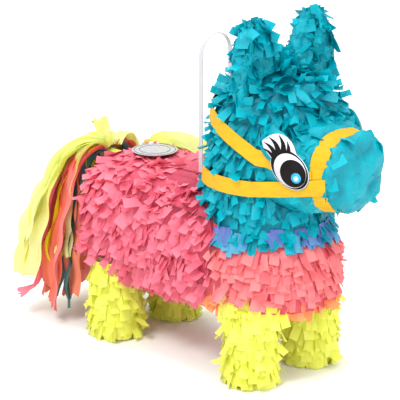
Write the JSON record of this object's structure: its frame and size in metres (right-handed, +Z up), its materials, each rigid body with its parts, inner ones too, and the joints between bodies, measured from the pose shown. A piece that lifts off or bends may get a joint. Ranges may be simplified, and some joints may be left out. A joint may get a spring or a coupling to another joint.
{
  "type": "pinata",
  "caption": "Standing donkey pinata of card dressed in fringed crepe paper, with a hinged filling hatch in the back, a plastic hanging loop and a tail of streamers.",
  "frame": {"origin": "on the floor, under the centre of the object's outline", "axes": "+X from tail to nose, +Y to the animal's left, +Z up"},
  "size_m": [0.559, 0.2138, 0.461],
  "materials": {
    "kraft_card": "uncoated brown board",
    "pink_crepe": "matt fringed tissue",
    "turquoise_crepe": "matt fringed tissue",
    "turquoise_wrap": "crumpled smooth tissue",
    "yellow_crepe": "matt fringed tissue, fluorescent yellow",
    "gold_paper": "smooth coloured paper strip",
    "eye_print": "printed die-cut sticker",
    "label_stock": "plain pale label without print",
    "strap_plastic": "translucent white strap",
    "lime_crepe": "thin crepe streamer",
    "coral_crepe": "thin crepe streamer",
    "teal_crepe": "thin crepe streamer"
  },
  "bodies": {
    "root": {"back_panel": "kraft_card", "side_panel_left": "kraft_card", "side_panel_right": "kraft_card", "belly_panel": "kraft_card", "rump_cap": "kraft_card", "neck_tube": "kraft_card", "chest_floor": "kraft_card", "head_cap": "kraft_card", "muzzle_tube": "kraft_card", "muzzle_end": "kraft_card", "muzzle_wrap": "turquoise_wrap", "ear_card_left": "kraft_card", "ear_card_right": "kraft_card", "ear_fringe_left": "turquoise_crepe", "ear_fringe_right": "turquoise_crepe", "trunk_fringe": "pink_crepe", "chest_fringe": "pink_crepe", "neck_fringe": "turquoise_crepe", "head_fringe": "turquoise_crepe", "anchor_card": "kraft_card", "strap_ends": "strap_plastic", "halter_nose_band": "gold_paper", "halter_lower_strap": "gold_paper", "halter_upper_strap": "gold_paper", "eye_sticker_left": "eye_print", "eye_sticker_right": "eye_print", "leg_tube_front_left": "kraft_card", "foot_disc_front_left": "kraft_card", "leg_fringe_front_left": "yellow_crepe", "leg_tube_front_right": "kraft_card", "foot_disc_front_right": "kraft_card", "leg_fringe_front_right": "yellow_crepe", "leg_tube_rear_left": "kraft_card", "foot_disc_rear_left": "kraft_card", "leg_fringe_rear_left": "yellow_crepe", "leg_tube_rear_right": "kraft_card", "foot_disc_rear_right": "kraft_card", "leg_fringe_rear_right": "yellow_crepe", "tail_root": "lime_crepe", "tail_tie": "strap_plastic"},
    "hatch": {"fill_flap": "kraft_card", "flap_fringe": "pink_crepe", "flap_label": "label_stock"},
    "hanger": {"hanging_loop": "strap_plastic"},
    "tail": {"tail_streamers_outer": "lime_crepe", "tail_streamers_middle": "coral_crepe", "tail_streamers_inner": "teal_crepe"}
  },
  "joints": [
    {"name": "hatch_hinge", "type": "hinge", "parent": "root", "child": "hatch", "pos_m": [-0.1045, 0, 0.245], "axis": [0, -1, 0], "range_deg": [0, 100]},
    {"name": "loop_swing", "type": "hinge", "parent": "root", "child": "hanger", "pos_m": [0.0375, 0, 0.24314], "axis": [0, -1, 0], "range_deg": [-4, 60]},
    {"name": "tail_lift", "type": "hinge", "parent": "root", "child": "tail", "pos_m": [-0.1535, 0, 0.233], "axis": [0, 1, 0], "range_deg": [0, 50]}
  ]
}
